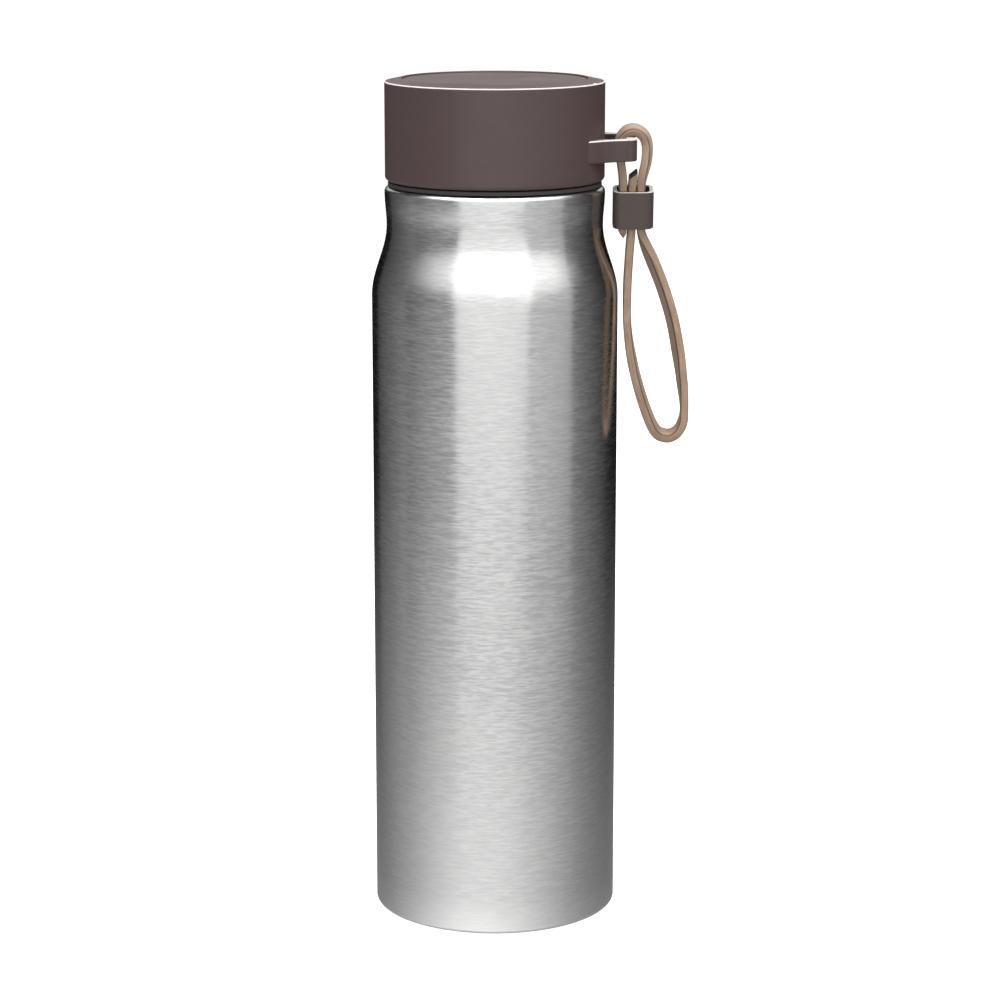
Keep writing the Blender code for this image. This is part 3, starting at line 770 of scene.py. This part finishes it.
def make_world():
    """White behind everything for the camera. Reflections see a dim room between a pale table top
    and a lighter ceiling, all brighter on the camera's side."""
    world = bpy.data.worlds.new("studio")
    bpy.context.scene.world = world
    world.use_nodes = True
    tree = world.node_tree
    background = tree.nodes["Background"]
    direction = node(tree, "ShaderNodeTexCoord").outputs["Generated"]
    parts = node(tree, "ShaderNodeSeparateXYZ", {"Vector": direction}).outputs
    toward_camera = spread(tree, parts["Y"], 1.0, 0.0, -1.0, 1.0)
    room = spread(tree, toward_camera, *ROOM_GLOW, *ROOM_RAMP)
    bright_side = (sin(TABLE_SIDE), -cos(TABLE_SIDE), 0)
    table = node(tree, "ShaderNodeVectorMath", {0: direction, 1: bright_side}, operation="DOT_PRODUCT")
    table = spread(tree, table.outputs["Value"], 0.0, 1.0, -1.0, 1.0)
    table = combine_values(tree, "POWER", table, TABLE_FALLOFF)
    table = spread(tree, table, *TABLE_GLOW, 0.0, 1.0)
    above = spread(tree, parts["Z"], 0.0, 1.0, *TABLE_EDGE)
    glow = node(tree, "ShaderNodeMix", data_type="FLOAT")
    for socket, source in zip((glow.inputs[0], glow.inputs[2], glow.inputs[3]), (above, table, room)):
        tree.links.new(source, socket)
    overhead = spread(tree, parts["Z"], 0.0, CEILING_GLOW, *CEILING_EDGE)
    overhead = combine_values(tree, "MULTIPLY", overhead, spread(tree, toward_camera, 0, 1, *CEILING_RAMP))
    glow = combine_values(tree, "ADD", glow.outputs[0], overhead)
    ray = node(tree, "ShaderNodeLightPath")
    seen = colour_mix(tree, ray.outputs["Is Diffuse Ray"], glow, DIFFUSE_FILL)
    seen = colour_mix(tree, ray.outputs["Is Camera Ray"], seen, (1.0, 1.0, 1.0))
    tree.links.new(seen, background.inputs["Color"])
    background.inputs["Strength"].default_value = 1.0


def make_stage():
    solid = bmesh.new()
    bmesh.ops.create_grid(solid, x_segments=8, y_segments=8, size=FLOOR_SIZE)
    floor = add_object("floor", finished_mesh("floor", solid), floor_look())
    floor.visible_glossy = False
    floor.visible_diffuse = False
    floor.visible_shadow = False


def make_lights():
    """Name, azimuth, elevation, distance, width, height and brightness of each card of light."""
    softbox("key_front", -2.5, 14, 1.3, 1.86, 1.25, 0.92)
    softbox("fill_right", 54, 14, 1.3, 1.1, 1.25, 0.40)
    softbox("far_left", -115, 5, 1.3, 1.2, 1.2, 0.08)
    softbox("overhead", 8, 76, 1.2, 2.6, 1.5, 1.5)
    softbox("top_strip", 0, 84, 1.2, 2.40, 0.10, 15.0)
    softbox("card_behind", 180, 31, 1.3, 1.50, 0.90, 0.65)


# ---- the strap ------------------------------------------------------------------------------


def strap_twist_at(position):
    """The strap's twist in degrees at a position counted in points of its route."""
    for (first, start), (last, end) in zip(STRAP_TWIST, STRAP_TWIST[1:]):
        if position <= last:
            return start + (end - start) * smoothstep((position - first) / (last - first))
    return STRAP_TWIST[-1][1]


def strap_line():
    """Even points of the strap's centre line, each with its twist and its distance along."""
    steps = 24
    dense = [point * MM for point in smooth_line(STRAP_ROUTE, steps)]
    reach = [0.0]
    for start, end in zip(dense, dense[1:]):
        reach.append(reach[-1] + (end - start).length)
    points = even_samples(dense, reach, STRAP_SAMPLES)
    twists = even_samples([strap_twist_at(i / steps) for i in range(len(dense))], reach, STRAP_SAMPLES)
    return points, twists, reach[-1]


def strap_size(walked):
    """The size of the strap's section, 1 being whole, at a distance from its rounded lower end."""
    rounding = min(walked / STRAP_TAIL_ROUNDING, 1)
    return max(sqrt(1 - (1 - rounding) ** 2), STRAP_TAIL_SIZE)


def strap_slope(walked, left):
    """How far a section slants, at its distances from the lower end and from the upper end."""
    slope = STRAP_TIP_SLANT * smoothstep(1 - left / STRAP_SLANT_REACH)
    return slope - STRAP_TAIL_SLANT * smoothstep(1 - walked / STRAP_SLANT_REACH)


def make_strap(look, cut_look):
    points, twists, total = strap_line()
    outline = rounded_rectangle(STRAP_THICKNESS, STRAP_WIDTH, STRAP_EDGE, 5)
    solid = bmesh.new()
    places = solid.verts.layers.float_vector.new("strap_place")
    rings = []
    last = len(points) - 1
    for i, (centre, twist) in enumerate(zip(points, twists)):
        along = (points[min(i + 1, last)] - points[max(i - 1, 0)]).normalized()
        through = along.cross(Vector((0, 1, 0))).normalized()
        turn = Matrix.Rotation(radians(twist), 3, along)
        through = turn @ through
        across = through.cross(along)
        walked = total * i / last
        size = strap_size(walked)
        slope = strap_slope(walked, total - walked)
        ring = []
        for x, y in outline:
            offset = through * x * size + across * y * size - along * slope * x
            corner = solid.verts.new(centre + offset)
            corner[places] = (walked, y, x)
            ring.append(corner)
        rings.append(ring)
    for ring, following in zip(rings, rings[1:]):
        for i in range(len(ring)):
            solid.faces.new((ring[i - 1], ring[i], following[i], following[i - 1]))
    for end in (rings[0], rings[-1]):
        solid.faces.new(end).material_index = 1
    strap = add_object("wrist_strap", finished_mesh("wrist_strap", solid), look)
    strap.data.materials.append(cut_look)
    return strap, points


def make_keeper(look):
    outer = rounded_rectangle(KEEPER_WIDTH, KEEPER_DEPTH, KEEPER_CORNER, 16)
    inner = rounded_rectangle(
        KEEPER_WIDTH - 2 * KEEPER_WALL,
        KEEPER_DEPTH - 2 * KEEPER_WALL,
        KEEPER_CORNER - KEEPER_WALL,
    )
    keeper = outline_solid("strap_keeper", [outer, inner], KEEPER_HEIGHT, KEEPER_EDGE, look)
    near_rims = KEEPER_HEIGHT / 2 - KEEPER_EDGE - HIGHLIGHT_REACH
    near_corners = KEEPER_WIDTH / 2 - KEEPER_CORNER - HIGHLIGHT_REACH
    slice_mesh(keeper.data, [(2, -near_rims), (2, near_rims), (0, -near_corners), (0, near_corners)])
    keeper.data.transform(Matrix.Translation(KEEPER_CENTRE) @ Matrix.Rotation(KEEPER_TILT, 4, "X"))
    return keeper


# ---- the body -------------------------------------------------------------------------------


def make_shell(look):
    profile = [(NECK_RADIUS, NECK_TOP)]
    profile += arc(NECK_RADIUS + NECK_FILLET, RIM_TOP + NECK_FILLET, NECK_FILLET, 180, 270, 6)
    profile += arc(RIM_RADIUS - RIM_CORNER, RIM_TOP - RIM_CORNER, RIM_CORNER, 90, 0, 10)
    profile += ease((RIM_RADIUS, RIM_BOTTOM), (WAIST_RADIUS, WAIST_HEIGHT))[1:]
    profile += ease((WAIST_RADIUS, WAIST_HEIGHT), (BODY_RADIUS, SHOULDER_BOTTOM), 40)[1:]
    foot_top = SHELL_FOOT + FOOT_CORNER
    profile += straight((BODY_RADIUS, SHOULDER_BOTTOM), (BODY_RADIUS, foot_top), 20)[:-1]
    profile += arc(BODY_RADIUS - FOOT_CORNER, foot_top, FOOT_CORNER, 0, -90, 10)
    profile.append((FOOT_LIP_RADIUS, SHELL_FOOT))
    shell = turned("steel_shell", walled(profile, SHELL_WALL), look)
    for start in range(THREAD_STARTS):
        name = f"neck_thread_{start}"
        ridge = thread_ridge(name, NECK_RADIUS, MALE_CREST, THREAD_START, tau * start / THREAD_STARTS)
        combine(shell, ridge, "UNION")
    return shell


def make_flask(look):
    fillet_r = MOUTH_NECK_RADIUS + MOUTH_LIP_FILLET
    profile = [(MOUTH_LIP_RADIUS, MOUTH_LIP_BOTTOM)]
    profile += arc(fillet_r, MOUTH_LIP_BOTTOM - MOUTH_LIP_FILLET, MOUTH_LIP_FILLET, 90, 180, 6)
    profile += ease((MOUTH_NECK_RADIUS, FLASK_NECK_BOTTOM), (FLASK_RADIUS, FLASK_SHOULDER), 30)
    profile += arc(FLASK_RADIUS - FLASK_CORNER, FLASK_BOTTOM + FLASK_CORNER, FLASK_CORNER, 0, -90, 12)
    profile.append((0, FLASK_BOTTOM))
    return turned("inner_flask_fine", walled(profile, SHELL_WALL), look)


def make_base_cover(look):
    low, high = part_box("base_cover")
    radius = high.x
    floor = low.z + COVER_RECESS
    profile = [(0, high.z), (radius, high.z)]
    profile += arc(radius - COVER_CORNER, low.z + COVER_CORNER, COVER_CORNER, 0, -90, 6)
    profile += [(radius * COVER_RIM_END, low.z), (radius * COVER_FLOOR_START, floor), (0, floor)]
    return turned("base_cover_fine", profile, look, closed=False)


def make_neck_ring(look):
    low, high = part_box("neck_ring")
    profile = [(NECK_RING_INNER, high.z)]
    profile += arc(high.x - NECK_RING_CORNER, high.z - NECK_RING_CORNER, NECK_RING_CORNER, 90, 0, 6)
    profile += [(high.x, low.z), (NECK_RING_INNER, low.z)]
    return turned("neck_ring_fine", profile, look)


def make_mouth_seal(look):
    low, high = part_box("mouth_seal")
    profile = [(SEAL_INNER, high.z), (high.x, high.z)]
    profile += arc(high.x - SEAL_CORNER, low.z + SEAL_CORNER, SEAL_CORNER, 0, -90, 6)
    profile.append((SEAL_INNER, low.z))
    return turned("mouth_seal_fine", profile, look)


# ---- the cap --------------------------------------------------------------------------------


def make_lug():
    """The bracket on the cap's side: two arms and an end bar that is round where the strap hangs."""
    root = arc(0, 0, LUG_ROOT_RADIUS, LUG_ARM_ANGLE, LUG_ROOT_ANGLE, 6)
    corner_y = LUG_HALF_WIDTH - LUG_CORNER
    corner = arc(LUG_REACH - LUG_CORNER, corner_y, LUG_CORNER, 0, 75, 20)
    flank = smooth_line([root[-1], *LUG_FLANK, corner[-1]], 6)[1:-1]
    half = [*LUG_OPENING, *root, *flank, *corner[::-1]]
    outline = half + [(x, -y) for x, y in reversed(half)]
    middle = (LUG_BOTTOM + LUG_TOP) / 2
    height = LUG_TOP - LUG_BOTTOM
    lug = outline_solid("lug", [outline], height, LUG_EDGE)
    near_edges = height / 2 - LUG_EDGE - HIGHLIGHT_REACH
    slice_mesh(lug.data, [(2, -near_edges), (2, near_edges)])
    lug.data.transform(Matrix.Translation((0, 0, middle)))

    near = LUG_INNER_REACH - OVERCUT
    far = LUG_REACH + OVERCUT
    sides = [(near, -BAR_HALF_LENGTH), (far, -BAR_HALF_LENGTH)]
    sides += [(x, -y) for x, y in reversed(sides)]
    gap = outline_solid("bar_gap", [sides], 2 * height, BAR_GAP_EDGE)
    gap.data.transform(Matrix.Translation((0, 0, middle)))
    combine(lug, gap, "DIFFERENCE")
    reach = BAR_HALF_LENGTH + OVERCUT
    bar_profile = [(0, reach), (BAR_RADIUS, reach), (BAR_RADIUS, -reach), (0, -reach)]
    bar = add_object("strap_bar", finished_mesh("strap_bar", revolve(bar_profile, False, BAR_SEGMENTS)), None)
    bar.data.transform(Matrix.Translation((BAR_X, 0, BAR_Z)) @ Matrix.Rotation(pi / 2, 4, "X"))
    combine(lug, bar, "UNION")
    return lug


def make_cap(look):
    recess = DISC_RADIUS + DISC_GAP
    floor = DISC_LOW.z - DISC_GAP
    profile = [(0, floor), (recess, floor)]
    profile += arc(recess + RECESS_LIP, CAP_TOP - RECESS_LIP, RECESS_LIP, 180, 90, 5)
    edge_r = CAP_RADIUS - CAP_EDGE_CORNER
    profile += straight((recess + RECESS_LIP, CAP_TOP), (edge_r, CAP_EDGE_HEIGHT), 6)[:-1]
    profile += arc(edge_r, CAP_EDGE_HEIGHT - CAP_EDGE_CORNER, CAP_EDGE_CORNER, 90, 0, 5)
    profile.append((CAP_RADIUS, CAP_EDGE_HEIGHT - CAP_EDGE_CORNER - HIGHLIGHT_REACH))
    foot_z = CAP_BOTTOM + CAP_BOTTOM_CORNER
    profile += straight(profile[-1], (CAP_RADIUS, foot_z), 16)[:-1]
    profile += arc(CAP_RADIUS - CAP_BOTTOM_CORNER, foot_z, CAP_BOTTOM_CORNER, 0, -90, 16)
    profile += [(CAP_INNER_RADIUS, CAP_BOTTOM), (CAP_INNER_RADIUS, CAP_ROOF), (0, CAP_ROOF)]
    cap = turned("cap_body", profile, look, closed=False)
    join(cap, make_lug())
    return cap


def make_disc(look):
    flat_radius = DISC_RADIUS - DISC_EDGE
    profile = [(0, DISC_HIGH.z)]
    profile += straight((0, DISC_HIGH.z), (flat_radius, DISC_HIGH.z), 8)[:-1]
    profile += arc(flat_radius, DISC_HIGH.z - DISC_EDGE, DISC_EDGE, 90, 0, 6)
    profile += [(DISC_RADIUS, DISC_LOW.z), (0, DISC_LOW.z)]
    return turned("cap_disc_fine", profile, look, closed=False)


def make_liner(look):
    deck_top = LINER_DECK + LINER_DECK_THICKNESS
    plug_bore = PLUG_RADIUS - PLUG_WALL
    profile = [(LINER_BORE, LINER_HIGH.z), (LINER_RADIUS, LINER_HIGH.z), (LINER_RADIUS, LINER_LOW.z)]
    profile += [(LINER_BORE, LINER_LOW.z), (LINER_BORE, LINER_DECK), (PLUG_RADIUS, LINER_DECK)]
    profile += arc(PLUG_RADIUS - PLUG_CORNER, PLUG_BOTTOM + PLUG_CORNER, PLUG_CORNER, 0, -90, 8)
    profile += [(0, PLUG_BOTTOM), (0, PLUG_BOTTOM + PLUG_WALL), (plug_bore, PLUG_BOTTOM + PLUG_WALL)]
    profile += [(plug_bore, deck_top), (LINER_BORE, deck_top)]
    liner = turned("cap_liner_fine", profile, look)
    height = THREAD_START + THREAD_LEAD / THREAD_STARTS / 2
    for start in range(THREAD_STARTS):
        name = f"cap_thread_{start}"
        ridge = thread_ridge(name, LINER_BORE, FEMALE_CREST, height, tau * start / THREAD_STARTS)
        combine(liner, ridge, "UNION")
    return liner


def stand_for(obj, body, node_name):
    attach(obj, body)
    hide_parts(node_name)


def repaint(node_name, look):
    """Gives a CAD node that stays in the model its finished material."""
    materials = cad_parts[node_name].data.materials
    materials.clear()
    materials.append(look)


def main():
    bpy.context.scene.view_settings.view_transform = "Standard"
    make_camera()
    cap_look = moulded_look("cap_plastic", CAP_TINT, 0.44)
    keeper_look = moulded_look("keeper_plastic", KEEPER_TINT, 0.42)
    strap, line = make_strap(leather_look(), cut_leather_look())
    keeper = make_keeper(keeper_look)
    stand_for(strap, "strap", "strap")
    stand_for(keeper, "keeper", "keeper")

    steel = turned_steel_look("brushed_steel", STEEL_TINT, roughness=0.22, grain=0.065)
    flask_steel = turned_steel_look("flask_steel", FLASK_TINT, roughness=0.24, grain=0.05)
    seal = rubber_look("seal_rubber", SEAL_TINT)
    stand_for(make_shell(steel), "bottle", "outer_shell")
    stand_for(make_flask(flask_steel), "bottle", "inner_flask")
    stand_for(make_base_cover(steel), "bottle", "base_cover")
    stand_for(make_neck_ring(seal), "bottle", "neck_ring")
    stand_for(make_mouth_seal(seal), "seal", "mouth_seal")
    stand_for(make_cap(cap_look), "cap", "cap_shell")
    stand_for(make_disc(cap_look), "cap", "cap_top_disc")
    liner_look = moulded_look("liner_plastic", LINER_TINT, 0.40)
    stand_for(make_liner(liner_look), "cap", "cap_liner")
    repaint("base_plate", steel)
    repaint("vacuum_seal_bead", glass_bead_look())
    repaint("getter_pellet", getter_look())
    repaint("cap_insulation", foam_look())

    make_stage()
    make_world()
    make_lights()


main()
